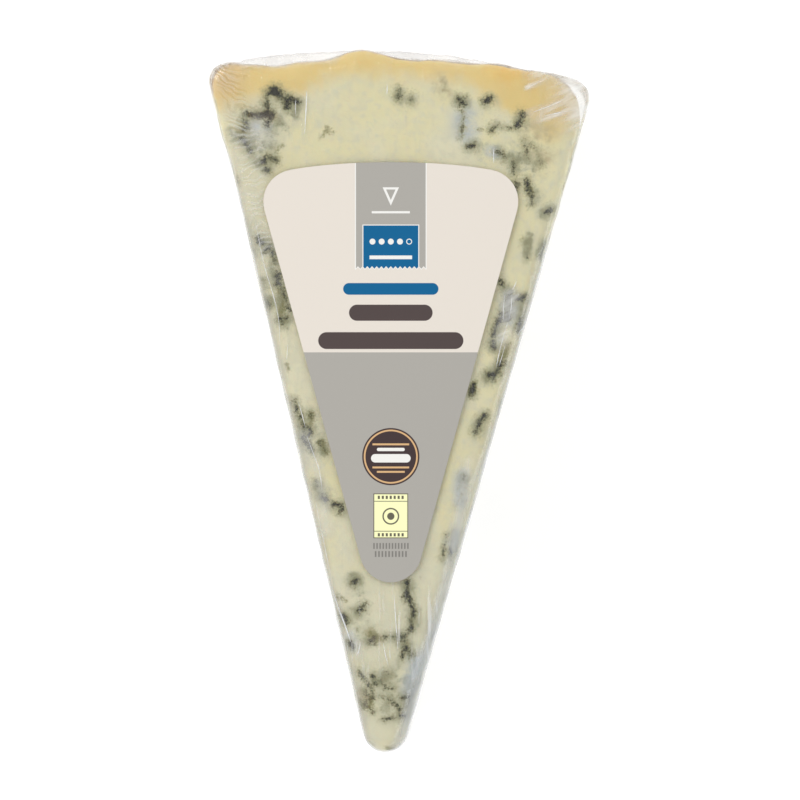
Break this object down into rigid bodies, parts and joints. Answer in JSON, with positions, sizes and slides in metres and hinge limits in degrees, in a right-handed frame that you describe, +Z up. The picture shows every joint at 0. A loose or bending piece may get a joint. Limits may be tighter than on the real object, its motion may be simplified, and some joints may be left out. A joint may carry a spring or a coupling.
{
  "type": "blue cheese wedge",
  "caption": "Film-wrapped wedge of blue-veined cheese lying on one cut face, rind along its wide end, with a tapered paper label on the upper face.",
  "frame": {"origin": "centre of the footprint, on the resting cut face", "axes": "+Y from the tip to the rind end, along the wedge's length; +Z up through the labelled cut face; +X to the right of the label as it is read"},
  "size_m": [0.0516, 0.0962, 0.0606],
  "materials": {
    "cheese_in_film": "clear glossy shrink film drawn tight over a matte, crumbly, blue-veined cream paste",
    "film": "clear glossy shrink film, whitish along its creases and its sealed tail",
    "cheese_paste": "cream paste with blue-green veins, golden under a brown-grey rind",
    "label_paper": "smooth satin paper, printed in cream, warm grey and blue"
  },
  "bodies": {
    "root": {"wrapped_wedge": "cheese_in_film", "label": "label_paper"}
  },
  "joints": []
}
